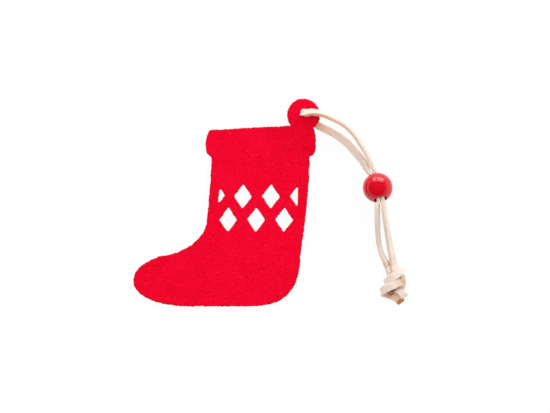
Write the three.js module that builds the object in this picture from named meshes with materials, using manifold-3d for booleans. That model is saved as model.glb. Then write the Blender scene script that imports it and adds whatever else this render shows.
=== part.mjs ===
// A flat Christmas stocking die-cut from thick felt, lying on its back, with its hanging lace.
// The lace is one flat suede strip. It passes through the hole in the stocking's tab, both halves
// run through a large-holed wooden bead, and the two ends are tied together in one overhand knot.
// Millimetres. X runs from toe to heel, Y from sole to cuff and Z up from the surface it lies on.
// The origin is the middle of the felt's outline, on that surface.

import * as THREE from "three";
import { mergeVertices } from "three/addons/utils/BufferGeometryUtils.js";
import Module from "manifold-3d";

const wasm = await Module();
wasm.setup();

const { degToRad, lerp, smoothstep } = THREE.MathUtils;

// Felt stocking
const FELT_THICKNESS = 3;
const FOOT_LENGTH = 66.7;
const TOE_HEIGHT = 19.7;
const HEEL_HEIGHT = 20.7;
const ANKLE_HEIGHT = 33.5;
const LEG_WIDTH = 39;
const LEG_LEAN = 3.6;
const ANKLE_FLARE = 1.8;
const CUFF_BASE = 59.8;
const CUFF_HEIGHT = 11.4;
const CUFF_DROP = 0.9;
const CUFF_BULGE = 2.2;
const CURVE_SEGMENTS = 10;

// Tab that carries the lace
const TAB_RADIUS = 6.4;
const TAB_RISE = 5.2;
const TAB_INSET = 2.3;
const TAB_CUFF_ANGLE = degToRad(-53.6);
const TAB_NOTCH_ANGLE = degToRad(223);
const HOLE_SHIFT_X = -0.6;
const HOLE_SHIFT_Y = 0.9;

// Diamond lattice cut through the leg: an upper row with a halved diamond at each end, a lower row.
// The field's straight sides halve the diamonds there, and leave out what a wider pitch puts past them.
const DIAMOND_WIDTH = 7.1;
const DIAMOND_HEIGHT = 9.9;
const DIAMOND_PITCH = 11.2;
const DIAMOND_ROW_SPACING = 9.3;
const DIAMOND_ROW_HEIGHT = 43.8;
const DIAMOND_FIELD = 31.4;
const DIAMOND_FIELD_SHIFT = 0.6;
const DIAMOND_LEAN = degToRad(-2);
const UPPER_ROW_STEPS = [-1.5, -0.5, 0.5, 1.5];
const LOWER_ROW_STEPS = [-1, 0, 1];
const LATTICE_MIDDLE_SHARE = 0.463;

// Lace
const LACE_WIDTH = 3;
const LACE_THICKNESS = 1.5;
const LACE_BEVEL = 0.3;
const LACE_GAP = 0.3;
const CLEARANCE = 0.3;
const HOLE_SQUEEZE_SHARE = 0.85;
const SQUEEZED_ROWS = [1, 3];
const TABLE_CLEARANCE = 0.05;

// Bead, with its place from the hole, and the way that its bore points
const BEAD_DIAMETER = 12;
const BEAD_EDGE_RADIUS = 0.4;
const BEAD_SEGMENTS = 32;
const BEAD_ARC_SEGMENTS = 5;
const BEAD_FROM_HOLE_X = 30.2;
const BEAD_FROM_HOLE_Y = -30;
const BORE_HEADING = degToRad(-76.8);
const BORE_TILT = degToRad(22);

// Knot, with its place from the bead
const KNOT_FROM_BEAD_X = 6.8;
const KNOT_FROM_BEAD_Y = -39.1;

// The back half of the lace props up the corner of the felt with the tab on it
const PROP_HEADING = degToRad(52.3);
const PROP_RUN = 15;
const PROP_BENDS = 6;

const FELT_RED = new THREE.MeshStandardMaterial({ color: 0xec0230, roughness: 0.95, metalness: 0 });
const BEAD_RED = new THREE.MeshStandardMaterial({ color: 0xe00a28, roughness: 0.3, metalness: 0 });
const SUEDE = new THREE.MeshStandardMaterial({ color: 0xf0dccb, roughness: 0.9, metalness: 0 });

// Places that several pieces share. In the outline they are measured from the toe and the sole.
const heelX = FOOT_LENGTH;
const backX = heelX + LEG_LEAN;
const frontX = backX - LEG_WIDTH;
const cuffTop = CUFF_BASE + CUFF_HEIGHT;
const tabX = backX - TAB_INSET;
const tabY = cuffTop + TAB_RISE;
const corner = new THREE.Vector3(-(tabX + TAB_RADIUS) / 2, -(tabY + TAB_RADIUS) / 2, 0);
const hole = new THREE.Vector3(tabX + HOLE_SHIFT_X, tabY + HOLE_SHIFT_Y, 0);
const holeRadius = (Math.hypot(LACE_WIDTH, LACE_THICKNESS) / 2) * HOLE_SQUEEZE_SHARE + CLEARANCE;
const tabLift = LACE_THICKNESS + TABLE_CLEARANCE + CLEARANCE;
const tabTop = tabLift + FELT_THICKNESS;

const holePlace = hole.clone().add(corner);
const beadPlace = holePlace.clone().add({ x: BEAD_FROM_HOLE_X, y: BEAD_FROM_HOLE_Y, z: 0 });
const knotPlace = beadPlace.clone().add({ x: KNOT_FROM_BEAD_X, y: KNOT_FROM_BEAD_Y, z: 0 });
const boreCentre = beadPlace.clone().setZ(BEAD_DIAMETER / 2);
const boreAxis = new THREE.Vector3(
  Math.cos(BORE_HEADING) * Math.cos(BORE_TILT),
  Math.sin(BORE_HEADING) * Math.cos(BORE_TILT),
  Math.sin(BORE_TILT),
);
const boreSide = new THREE.Vector3(-Math.sin(BORE_HEADING), Math.cos(BORE_HEADING), 0);
const boreRadius = Math.hypot(LACE_THICKNESS + LACE_GAP / 2, LACE_WIDTH / 2) + CLEARANCE;

// Heights that the lace's middle keeps
const onTable = LACE_THICKNESS / 2 + TABLE_CLEARANCE;
const overTab = tabTop + CLEARANCE + (LACE_WIDTH + LACE_THICKNESS) / 2;
const boreRise = (BEAD_DIAMETER / 2) * boreAxis.z;
const boreInlet = BEAD_DIAMETER / 2 - boreRise;
const boreOutlet = BEAD_DIAMETER / 2 + boreRise;

const UPRIGHT = new THREE.Vector3(0, 0, 1);

// The part of a polygon on one side of a line, where side is 1 or -1
function clipped(points, direction, level, side) {
  return points.flatMap((point, i) => {
    const next = points[(i + 1) % points.length];
    const here = side * (point.dot(direction) - level);
    const there = side * (next.dot(direction) - level);
    const kept = here >= 0 ? [point] : [];
    if (here * there < 0) kept.push(point.clone().lerp(next, here / (here - there)));
    return kept;
  });
}

function solidOf(geometry) {
  const bare = geometry.clone();
  bare.deleteAttribute("normal");
  bare.deleteAttribute("uv");
  const merged = mergeVertices(bare);
  const vertProperties = new Float32Array(merged.attributes.position.array);
  const triVerts = new Uint32Array(merged.index.array);
  return new wasm.Manifold(new wasm.Mesh({ numProp: 3, vertProperties, triVerts }));
}

function geometryOf(solid) {
  const mesh = solid.getMesh();
  const geometry = new THREE.BufferGeometry();
  geometry.setAttribute("position", new THREE.BufferAttribute(mesh.vertProperties, 3));
  geometry.setIndex(new THREE.BufferAttribute(mesh.triVerts, 1));
  const faceted = geometry.toNonIndexed();
  faceted.computeVertexNormals();
  return faceted;
}

// Stocking outline. Each curve's control points are shares of the length and height of the foot,
// leg or cuff that it bounds.
const HEEL_SHARES = [[0.69, 0], [0.89, 0], [0.996, 0.22], [1, 1]];
const BACK_SHARE = 0.56;
const INSTEP_SHARES = [[0.418, 0.45], [0.303, 0.08]];
const TOE_TOP_SHARES = [[0.157, 1], [0.085, 0.92], [0, 0.76], [0, 0.5]];
const TOE_SOLE_SHARES = [[0, 0.2], [0.15, 0], [0.33, 0]];
const CUFF_END_SHARES = [[1.5, 0.02], [1.3, 0.7]];
const CUFF_CORNER_SHARE = 0.3;
const FRONT_SHARES = [0.33, 0.8];

function stockingShape() {
  const footPoint = (height) => ([x, y]) => [x * FOOT_LENGTH, y * height];
  const heel = HEEL_SHARES.map(footPoint(HEEL_HEIGHT));
  const toeTop = TOE_TOP_SHARES.map(footPoint(TOE_HEIGHT));
  const toeSole = TOE_SOLE_SHARES.map(footPoint(TOE_HEIGHT));
  const instep = INSTEP_SHARES.map(([x, y]) => [x * FOOT_LENGTH, lerp(TOE_HEIGHT, ANKLE_HEIGHT, y)]);
  const cuffEnd = (x, way) => ([out, up]) => [x + way * out * CUFF_BULGE, CUFF_BASE + up * CUFF_HEIGHT];
  const backEnd = CUFF_END_SHARES.map(cuffEnd(backX, 1));
  const frontEnd = CUFF_END_SHARES.map(cuffEnd(frontX, -1)).reverse();
  const ankleX = frontX - ANKLE_FLARE;

  const shape = new THREE.Shape();
  shape.moveTo(...heel[0]);
  shape.bezierCurveTo(...heel[1], ...heel[2], ...heel[3]);
  shape.quadraticCurveTo(backX, (HEEL_HEIGHT + CUFF_BASE) * BACK_SHARE, backX, CUFF_BASE);
  shape.bezierCurveTo(
    ...backEnd[0],
    ...backEnd[1],
    tabX + TAB_RADIUS * Math.cos(TAB_CUFF_ANGLE),
    tabY + TAB_RADIUS * Math.sin(TAB_CUFF_ANGLE),
  );
  shape.absarc(tabX, tabY, TAB_RADIUS, TAB_CUFF_ANGLE, TAB_NOTCH_ANGLE, false);
  shape.lineTo(frontX - CUFF_BULGE * CUFF_CORNER_SHARE, cuffTop - CUFF_DROP);
  shape.bezierCurveTo(...frontEnd[0], ...frontEnd[1], frontX, CUFF_BASE);
  shape.bezierCurveTo(
    frontX,
    lerp(CUFF_BASE, ANKLE_HEIGHT, FRONT_SHARES[0]),
    lerp(frontX, ankleX, FRONT_SHARES[1]),
    lerp(CUFF_BASE, ANKLE_HEIGHT, FRONT_SHARES[1]),
    ankleX,
    ANKLE_HEIGHT,
  );
  shape.bezierCurveTo(...instep[0], ...instep[1], ...toeTop[0]);
  shape.bezierCurveTo(...toeTop[1], ...toeTop[2], ...toeTop[3]);
  shape.bezierCurveTo(...toeSole[0], ...toeSole[1], ...toeSole[2]);
  shape.closePath();

  shape.holes.push(...diamondCuts(), new THREE.Path().absarc(hole.x, hole.y, holeRadius, 0, 2 * Math.PI));
  return shape;
}

function diamondCuts() {
  const lean = (x, y) => new THREE.Vector3(x, y, 0).applyAxisAngle(UPRIGHT, DIAMOND_LEAN);
  const middle = new THREE.Vector3(frontX + LEG_WIDTH * LATTICE_MIDDLE_SHARE, DIAMOND_ROW_HEIGHT, 0);
  const across = lean(1, 0);
  const fieldMiddle = middle.dot(across) + DIAMOND_FIELD_SHIFT;
  const corners = [[-1, 0], [0, -1], [1, 0], [0, 1]];
  const row = (steps, down) =>
    steps.map((step) => {
      const centre = lean(0, -down).add({ x: step * DIAMOND_PITCH, y: 0, z: 0 }).add(middle);
      const whole = corners.map(([x, y]) =>
        lean((x * DIAMOND_WIDTH) / 2, (y * DIAMOND_HEIGHT) / 2).add(centre),
      );
      const fromFront = clipped(whole, across, fieldMiddle - DIAMOND_FIELD / 2, 1);
      return clipped(fromFront, across, fieldMiddle + DIAMOND_FIELD / 2, -1);
    });
  const cuts = [...row(UPPER_ROW_STEPS, 0), ...row(LOWER_ROW_STEPS, DIAMOND_ROW_SPACING)];
  return cuts.filter((cut) => cut.length > 0).map((cut) => new THREE.Path(cut));
}

// The felt rises over the last stretch before the lace, in a smooth bend. The flat panel gets a
// line of corners wherever it bends, and then every corner is lifted.
function stockingPanel() {
  const flat = new THREE.ExtrudeGeometry(stockingShape(), {
    depth: FELT_THICKNESS,
    bevelEnabled: false,
    curveSegments: CURVE_SEGMENTS,
  });
  flat.translate(corner.x, corner.y, 0);
  const rise = new THREE.Vector3(Math.cos(PROP_HEADING), Math.sin(PROP_HEADING), 0);
  const top = holePlace.dot(rise) - LACE_WIDTH / 2 - CLEARANCE;
  const places = flat.attributes.position;
  let faces = [];
  for (let i = 0; i < places.count; i += 3) {
    faces.push([0, 1, 2].map((k) => new THREE.Vector3().fromBufferAttribute(places, i + k)));
  }
  for (let bend = 0; bend <= PROP_BENDS; bend += 1) {
    const level = top - (PROP_RUN * bend) / PROP_BENDS;
    faces = faces.flatMap((face) =>
      [1, -1].flatMap((side) => {
        const piece = clipped(face, rise, level, side);
        return piece.slice(2).map((last, i) => [piece[0], piece[i + 1], last]);
      }),
    );
  }
  const lifted = faces.flat().flatMap((point) => {
    const share = smoothstep(point.dot(rise), top - PROP_RUN, top);
    return [point.x, point.y, point.z + tabLift * share];
  });
  const geometry = new THREE.BufferGeometry();
  geometry.setAttribute("position", new THREE.Float32BufferAttribute(lifted, 3));
  geometry.computeVertexNormals();
  return geometry;
}

const SAME_POINT_SHARE = 0.01;

// Large-holed bead, turned about Y: up the bore, round the upper rim, down the ball, round the rim
function beadGeometry() {
  const radius = BEAD_DIAMETER / 2;
  const rimOut = boreRadius + BEAD_EDGE_RADIUS;
  const rimHeight = Math.sqrt((radius - BEAD_EDGE_RADIUS) ** 2 - rimOut ** 2);
  const rimTurn = Math.atan2(rimHeight, rimOut);
  const profile = new THREE.Path();
  profile.moveTo(boreRadius, -rimHeight);
  profile.lineTo(boreRadius, rimHeight);
  profile.absarc(rimOut, rimHeight, BEAD_EDGE_RADIUS, Math.PI, rimTurn, true);
  profile.absarc(0, 0, radius, rimTurn, -rimTurn, true);
  profile.absarc(rimOut, -rimHeight, BEAD_EDGE_RADIUS, -rimTurn, -Math.PI, true);
  const points = profile.getPoints(BEAD_ARC_SEGMENTS);
  const apart = BEAD_EDGE_RADIUS * SAME_POINT_SHARE;
  const distinct = points.filter((p, i) => i === 0 || p.distanceTo(points[i - 1]) > apart);
  distinct[distinct.length - 1] = distinct[0].clone();
  return new THREE.LatheGeometry(distinct.reverse(), BEAD_SEGMENTS);
}

const PACE_SHARE = 0.125;

// A strip's route. Each row holds a point and two angles that say which way the strip's width
// points: turn is its heading seen from above, tip how far it stands up from lying flat.
class LaceRoute extends THREE.Curve {
  constructor(rows) {
    super();
    this.line = new THREE.CatmullRomCurve3(rows.map((row) => row.point));
    this.widths = rows.map(({ turn, tip }) => {
      const level = Math.cos(degToRad(tip));
      const heading = degToRad(turn);
      return new THREE.Vector3(Math.cos(heading) * level, Math.sin(heading) * level, Math.sin(degToRad(tip)));
    });
    this.from = 0;
    this.to = rows.length - 1;
  }

  // The stretch between two rows, which stops short of each by half a gap where it meets another
  stretch(from, to, startGap, endGap) {
    const part = Object.assign(Object.create(LaceRoute.prototype), this);
    part.from = from + startGap / this.pace(from, 1);
    part.to = to - endGap / this.pace(to, -1);
    return part;
  }

  pace(row, way) {
    return this.at(row).distanceTo(this.at(row + way * PACE_SHARE)) / PACE_SHARE;
  }

  at(row) {
    return this.line.getPoint(row / (this.widths.length - 1));
  }

  rowOf(share) {
    return lerp(this.from, this.to, share);
  }

  getPoint(share) {
    return this.at(this.rowOf(share));
  }

  getSpacedPoints(steps) {
    return Array.from({ length: steps + 1 }, (_, i) => this.getPoint(i / steps));
  }

  computeFrenetFrames(steps) {
    const frames = { tangents: [], normals: [], binormals: [] };
    for (let i = 0; i <= steps; i += 1) {
      const row = this.rowOf(i / steps);
      const before = Math.min(Math.floor(row), this.widths.length - 2);
      const tangent = this.line.getTangent(row / (this.widths.length - 1));
      const width = this.widths[before].clone().lerp(this.widths[before + 1], row - before);
      width.addScaledVector(tangent, -width.dot(tangent)).normalize();
      const squeeze = lerp(HOLE_SQUEEZE_SHARE, 1, smoothstep(row, ...SQUEEZED_ROWS));
      frames.tangents.push(tangent);
      frames.normals.push(width.clone().multiplyScalar(squeeze));
      frames.binormals.push(tangent.clone().cross(width).multiplyScalar(squeeze));
    }
    return frames;
  }
}

// Free stretches, as rows of [x share, y share, rise share, turn, tip]. The shares run from the
// place where the stretch starts to the place where it ends, and from its lower to its upper height.
const FRONT_TO_BEAD = [
  [0.066, 0.004, 0.9, 84, -36],
  [0.113, -0.006, 0.98, 86, -44],
  [0.245, 0.014, 0.95, 80, -60],
  [0.377, 0.068, 0.84, 67, -72],
  [0.523, 0.143, 0.66, 58, -74],
  [0.616, 0.21, 0.52, 50, -70],
  [0.715, 0.317, 0.38, 40, -68],
  [0.781, 0.423, 0.26, 32, -68],
  [0.848, 0.53, 0.16, 26, -70],
  [0.9, 0.637, 0.09, 22, -76],
  [0.942, 0.743, 0.03, 18, -82],
  [0.972, 0.8, 0, 12, -86],
];
const BACK_TO_BEAD = [
  [0.053, 0.042, 0.02, 235, 0],
  [0.139, 0.103, 0, 232, 0],
  [0.219, 0.17, 0, 234, 0],
  [0.351, 0.237, 0, 242, 0],
  [0.49, 0.317, 0.02, 236, -4],
  [0.616, 0.423, 0.1, 226, -10],
  [0.709, 0.53, 0.2, 218, -18],
  [0.8, 0.637, 0.3, 210, -28],
  [0.859, 0.743, 0.56, 202, -60],
  [0.892, 0.797, 0.82, 200, -80],
];
const FRONT_TO_KNOT = [
  [0.345, 0.18, 1.07, 10, -72],
  [0.385, 0.253, 1.05, 10, -70],
  [0.475, 0.355, 0.92, 10, -70],
  [0.6, 0.478, 0.68, 10, -64],
  [0.71, 0.581, 0.48, 10, -56],
  [0.836, 0.683, 0.38, 10, -50],
];
const BACK_TO_KNOT = [
  [-0.02, 0.18, 1.07, 4, -70],
  [-0.03, 0.253, 1.05, 4, -70],
  [-0.02, 0.355, 0.92, 2, -71],
  [0.02, 0.478, 0.68, 6, -72],
  [0.095, 0.581, 0.48, 12, -72],
  [0.25, 0.683, 0.4, 18, -70],
  [0.43, 0.744, 0.36, 20, -66],
];

// One overhand knot in both strands, as rows of [x, y, height, turn, tip] in widths of the lace
// across and thicknesses of the lace up. Each strand goes in under the bands, turns to the right
// behind them, comes round the right side, crosses the front as a band, folds round the left side,
// passes underneath and leaves through its own loop as a tail.
const FRONT_KNOT = [
  [-0.07, 2.87, 1.45, 10, -38],
  [0.2, 1.87, 1.9, 8, -18],
  [0.36, 0.8, 2.1, 0, 0],
  [0.3, -0.27, 1.8, 5, 0],
  [0.55, -0.85, 1.1, 45, 0],
  [0.82, -0.68, 0.9, 95, 0],
  [1, 0, 1.6, 92, -25],
  [1.18, 1.02, 3, 95, -25],
  [0.85, 1.75, 3.65, 118, -8],
  [0, 1.28, 4, 118, 0],
  [-0.6, 0.86, 3.6, 118, 5],
  [-0.98, 0.42, 2.4, 110, 8],
  [-0.95, -0.02, 1.1, 95, 5],
  [-0.5, -0.4, 0.6, 78, 0],
  [0.05, -0.55, 1.4, 60, 0],
  [0.65, -0.65, 2.6, 40, 0],
  [1.05, -1.1, 2.75, 30, 0],
  [1.4, -1.55, 2.8, 30, 0],
];
const BACK_KNOT = [
  [-0.97, 2.67, 1.3, 20, -58],
  [-0.57, 1.73, 1.6, 18, -34],
  [-0.35, 0.67, 1.7, 2, 0],
  [-0.3, -0.6, 1.5, 5, 0],
  [0.15, -1.35, 0.7, 40, 0],
  [0.7, -1.3, 0.65, 84, 0],
  [1.02, -0.8, 1.3, 90, -25],
  [1, 0.05, 2.6, 92, -22],
  [0.7, 0.42, 3.5, 106, -6],
  [-0.1, 0.08, 3.9, 107, 0],
  [-1, -0.3, 3.4, 109, 5],
  [-1.55, -0.72, 2.1, 104, 8],
  [-1.44, -1, 0.9, 82, 4],
  [-0.75, -1.2, 0.75, 64, 0],
  [0, -1.52, 1.3, 50, 0],
  [0.55, -1.87, 1.6, 34, 0],
  [0.85, -2.15, 2.3, 20, 0],
];

const asRow = ([x, y, z, turn, tip]) => ({ point: new THREE.Vector3(x, y, z), turn, tip });

function freeRows(rows, start, end, low, high) {
  return rows.map(([x, y, z, turn, tip]) =>
    asRow([lerp(start.x, end.x, x), lerp(start.y, end.y, y), lerp(low, high, z), turn, tip]),
  );
}

// From the middle of the hole to the felt's face, and over the edge towards the bead. The rows are
// [x shift, y shift, turn] with the shifts in thicknesses of the lace. The heights follow the felt.
const HOLE_UP = [[0, 0, 65], [0, 0, 72], [0.4, 0.05, 80]];
const HOLE_DOWN = [[0, 0, 245], [0, 0, 241], [0.27, -0.2, 237]];
const UP_BEND_SHARE = 0.5;
const DOWN_BEND_SHARE = 0.35;

function holeRows(way) {
  const middle = tabLift + FELT_THICKNESS / 2;
  const face = middle + (way * FELT_THICKNESS) / 2;
  const upBend = lerp(tabTop, overTab, UP_BEND_SHARE);
  const downBend = lerp(onTable, tabLift, DOWN_BEND_SHARE);
  const heights = [middle, face, way > 0 ? upBend : downBend];
  return (way > 0 ? HOLE_UP : HOLE_DOWN).map(([x, y, turn], i) =>
    asRow([holePlace.x + x * LACE_THICKNESS, holePlace.y + y * LACE_THICKNESS, heights[i], turn, 0]),
  );
}

// On edge and side by side through the bore, straight from before one mouth to past the other
const BORE_SHARES = [-0.5, -0.3, 0, 0.3, 0.5];

function boreRows(way) {
  const aside = (way * (LACE_THICKNESS + LACE_GAP)) / 2;
  return BORE_SHARES.map((share) => {
    const point = boreCentre.clone().addScaledVector(boreSide, aside);
    point.addScaledVector(boreAxis, share * BEAD_DIAMETER);
    return { point, turn: 0, tip: -90 };
  });
}

function knotRows(rows) {
  return rows.map(([x, y, z, turn, tip]) =>
    asRow([knotPlace.x + x * LACE_WIDTH, knotPlace.y + y * LACE_WIDTH, z * LACE_THICKNESS, turn, tip]),
  );
}

// Half of the lace, from the middle of the hole to the end of its tail, cut into three stretches
function laceHalf(way, toBead, low, high, toKnot, knot) {
  const intoHole = holeRows(way);
  const upper = freeRows(toBead, holePlace, beadPlace, low, high);
  const lower = freeRows(toKnot, beadPlace, knotPlace, onTable, boreOutlet);
  const route = new LaceRoute([...intoHole, ...upper, ...boreRows(way), ...lower, ...knotRows(knot)]);
  const boreMiddle = intoHole.length + upper.length + (BORE_SHARES.length - 1) / 2;
  const knotStart = boreMiddle + (BORE_SHARES.length + 1) / 2 + lower.length;
  const end = route.to;
  return {
    upper: route.stretch(0, boreMiddle, LACE_GAP / 2, LACE_GAP / 2),
    lower: route.stretch(boreMiddle, knotStart, LACE_GAP / 2, LACE_GAP / 2),
    tied: route.stretch(knotStart, end, LACE_GAP / 2, 0),
  };
}

function laceSection() {
  const x = LACE_WIDTH / 2;
  const y = LACE_THICKNESS / 2;
  const b = LACE_BEVEL;
  const corners = [
    [x, b - y], [x, y - b], [x - b, y], [b - x, y],
    [-x, y - b], [-x, b - y], [b - x, -y], [x - b, -y],
  ];
  return new THREE.Shape(corners.map(([across, up]) => new THREE.Vector2(across, up)));
}

function strip(route, stepsPerRow) {
  const steps = Math.round((route.to - route.from) * stepsPerRow);
  return new THREE.ExtrudeGeometry(laceSection(), { steps, extrudePath: route, curveSegments: 1 });
}

function named(name, geometry, material) {
  const mesh = new THREE.Mesh(geometry, material);
  mesh.name = name;
  return mesh;
}

function bead() {
  const mesh = named("bead", beadGeometry(), BEAD_RED);
  mesh.position.copy(boreCentre);
  mesh.quaternion.setFromUnitVectors(new THREE.Vector3(0, -1, 0), boreAxis);
  return mesh;
}

function lace() {
  const front = laceHalf(1, FRONT_TO_BEAD, boreInlet, overTab, FRONT_TO_KNOT, FRONT_KNOT);
  const back = laceHalf(-1, BACK_TO_BEAD, onTable, boreInlet, BACK_TO_KNOT, BACK_KNOT);
  const knot = solidOf(strip(front.tied, 2)).add(solidOf(strip(back.tied, 2)));
  const group = new THREE.Group();
  group.add(
    named("lace_front_upper", strip(front.upper, 1), SUEDE),
    named("lace_back_upper", strip(back.upper, 1), SUEDE),
    named("lace_front_lower", strip(front.lower, 1), SUEDE),
    named("lace_back_lower", strip(back.lower, 1), SUEDE),
    named("lace_knot", geometryOf(knot), SUEDE),
  );
  return group;
}

const ornament = new THREE.Group();
ornament.add(named("stocking_panel", stockingPanel(), FELT_RED), lace(), bead());

export default ornament;
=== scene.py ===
import math

import bpy
import numpy as np
from bpy.props import (
    FloatProperty,
    FloatVectorProperty,
    IntProperty,
    PointerProperty,
)
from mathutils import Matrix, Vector, noise


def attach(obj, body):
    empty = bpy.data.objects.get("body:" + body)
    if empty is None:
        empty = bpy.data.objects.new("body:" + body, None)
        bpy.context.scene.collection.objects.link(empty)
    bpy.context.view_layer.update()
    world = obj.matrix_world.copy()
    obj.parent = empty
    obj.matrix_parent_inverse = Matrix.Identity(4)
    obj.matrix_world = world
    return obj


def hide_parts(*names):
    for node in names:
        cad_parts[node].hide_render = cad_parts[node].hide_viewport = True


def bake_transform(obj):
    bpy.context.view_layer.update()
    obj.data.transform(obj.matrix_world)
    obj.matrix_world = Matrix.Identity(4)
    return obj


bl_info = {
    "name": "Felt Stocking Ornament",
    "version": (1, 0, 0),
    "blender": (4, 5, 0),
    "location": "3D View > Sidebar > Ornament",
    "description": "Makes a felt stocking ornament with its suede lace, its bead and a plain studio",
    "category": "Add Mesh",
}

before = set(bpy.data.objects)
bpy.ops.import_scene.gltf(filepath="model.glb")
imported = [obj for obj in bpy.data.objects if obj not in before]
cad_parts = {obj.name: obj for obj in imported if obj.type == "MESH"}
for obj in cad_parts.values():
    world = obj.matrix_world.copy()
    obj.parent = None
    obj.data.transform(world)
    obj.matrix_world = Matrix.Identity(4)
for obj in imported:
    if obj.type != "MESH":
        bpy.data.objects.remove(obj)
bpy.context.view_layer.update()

MM = 0.001

# The photograph's frame, and the pixel that the origin falls on. One pixel is 0.4 mm at the height
# of the felt's upper face.
PHOTO_WIDTH = 550
PHOTO_HEIGHT = 413
PIXEL = 0.4 * MM
PHOTO_ORIGIN = (226.5, 202.5)

# How far the camera sees, in heights of the camera
FAR_CLIP_HEIGHTS = 10

# The lace's route, as in the part's source: its anchors, its own size and the heights that it keeps
HOLE = Vector((30.2, 35.9, 0)) * MM
BEAD = Vector((60.4, 5.9, 0)) * MM
KNOT = Vector((67.2, -33.2, 0)) * MM
LACE_WIDTH = 3 * MM
LACE_THICKNESS = 1.5 * MM
LACE_GAP = 0.3 * MM
TABLE_CLEARANCE = 0.05 * MM
CLEARANCE = 0.3 * MM
FELT_THICKNESS = 3 * MM
BEAD_DIAMETER = 12 * MM
BEAD_EDGE_RADIUS = 0.4 * MM
BORE_HEADING = math.radians(-76.8)
BORE_TILT = math.radians(22)
BORE_AXIS = Vector(
    (
        math.cos(BORE_HEADING) * math.cos(BORE_TILT),
        math.sin(BORE_HEADING) * math.cos(BORE_TILT),
        math.sin(BORE_TILT),
    )
)
BORE_SIDE = Vector((-math.sin(BORE_HEADING), math.cos(BORE_HEADING), 0))
BORE_RADIUS = math.hypot(LACE_THICKNESS + LACE_GAP / 2, LACE_WIDTH / 2) + CLEARANCE
BEAD_CENTRE = BEAD + Vector((0, 0, BEAD_DIAMETER / 2))
ON_TABLE = LACE_THICKNESS / 2 + TABLE_CLEARANCE
TAB_LIFT = LACE_THICKNESS + TABLE_CLEARANCE + CLEARANCE
TAB_TOP = TAB_LIFT + FELT_THICKNESS
OVER_TAB = TAB_TOP + CLEARANCE + (LACE_WIDTH + LACE_THICKNESS) / 2
BORE_RISE = BEAD_DIAMETER / 2 * BORE_AXIS.z
BORE_INLET = BEAD_DIAMETER / 2 - BORE_RISE
BORE_OUTLET = BEAD_DIAMETER / 2 + BORE_RISE

# How narrow the lace is in the tab's hole, and the rows of its route over which it widens again
HOLE_SQUEEZE_SHARE = 0.85
SQUEEZED_ROWS = (1, 3)

# How much wider and thicker it is in the knot, and the rows of the knot over which it swells
KNOT_SWELL_SHARES = (1.06, 1.18)
SWELLING_ROWS = (0.5, 3)

# The punched hole: its radius, the way of the lace's width in it, how far round it the felt is drawn
# in to the lace, the slack that is left there, and how square the drawn hole is
HOLE_RADIUS = math.hypot(LACE_WIDTH, LACE_THICKNESS) / 2 * HOLE_SQUEEZE_SHARE + CLEARANCE
HOLE_TURN = math.radians(65)
HOLE_WAY = Vector((math.cos(HOLE_TURN), math.sin(HOLE_TURN), 0))
HOLE_PULL = 2.2 * MM
HOLE_SLACK = 0.12 * MM
HOLE_SQUARENESS = 4

# The stretch of the leg that holds the cut-outs, and the corners of the halved one at its left edge
CUT_OUTS_LOW = Vector((-4.5, -13, 0)) * MM
CUT_OUTS_HIGH = Vector((29.2, 8.5, 0)) * MM
HALF_CUT_OUT = [Vector(corner) * MM for corner in ((-2.8, 5.9, 0), (-3.45, -0.7, 0), (-0.6, 2.9, 0))]

# Free stretches, as rows of (x share, y share, rise share, turn, tip)
FRONT_TO_BEAD = [
    (0.066, 0.004, 0.9, 84, -36),
    (0.113, -0.006, 0.98, 86, -44),
    (0.245, 0.014, 0.95, 80, -60),
    (0.377, 0.068, 0.84, 67, -72),
    (0.523, 0.143, 0.66, 58, -74),
    (0.616, 0.21, 0.52, 50, -70),
    (0.715, 0.317, 0.38, 40, -68),
    (0.781, 0.423, 0.26, 32, -68),
    (0.848, 0.53, 0.16, 26, -70),
    (0.9, 0.637, 0.09, 22, -76),
    (0.942, 0.743, 0.03, 18, -82),
    (0.972, 0.8, 0, 12, -86),
]
BACK_TO_BEAD = [
    (0.053, 0.042, 0.02, 235, 0),
    (0.139, 0.103, 0, 232, 0),
    (0.219, 0.17, 0, 234, 0),
    (0.351, 0.237, 0, 242, 0),
    (0.49, 0.317, 0.02, 236, -4),
    (0.616, 0.423, 0.1, 226, -10),
    (0.709, 0.53, 0.2, 218, -18),
    (0.8, 0.637, 0.3, 210, -28),
    (0.859, 0.743, 0.56, 202, -60),
    (0.892, 0.797, 0.82, 200, -80),
]
FRONT_TO_KNOT = [
    (0.345, 0.18, 1.07, 10, -72),
    (0.385, 0.253, 1.05, 10, -70),
    (0.475, 0.355, 0.92, 10, -70),
    (0.6, 0.478, 0.68, 10, -64),
    (0.71, 0.581, 0.48, 10, -56),
    (0.836, 0.683, 0.38, 10, -50),
]
BACK_TO_KNOT = [
    (-0.02, 0.18, 1.07, 4, -70),
    (-0.03, 0.253, 1.05, 4, -70),
    (-0.02, 0.355, 0.92, 2, -71),
    (0.02, 0.478, 0.68, 6, -72),
    (0.095, 0.581, 0.48, 12, -72),
    (0.25, 0.683, 0.4, 18, -70),
    (0.43, 0.744, 0.36, 20, -66),
]

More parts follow.
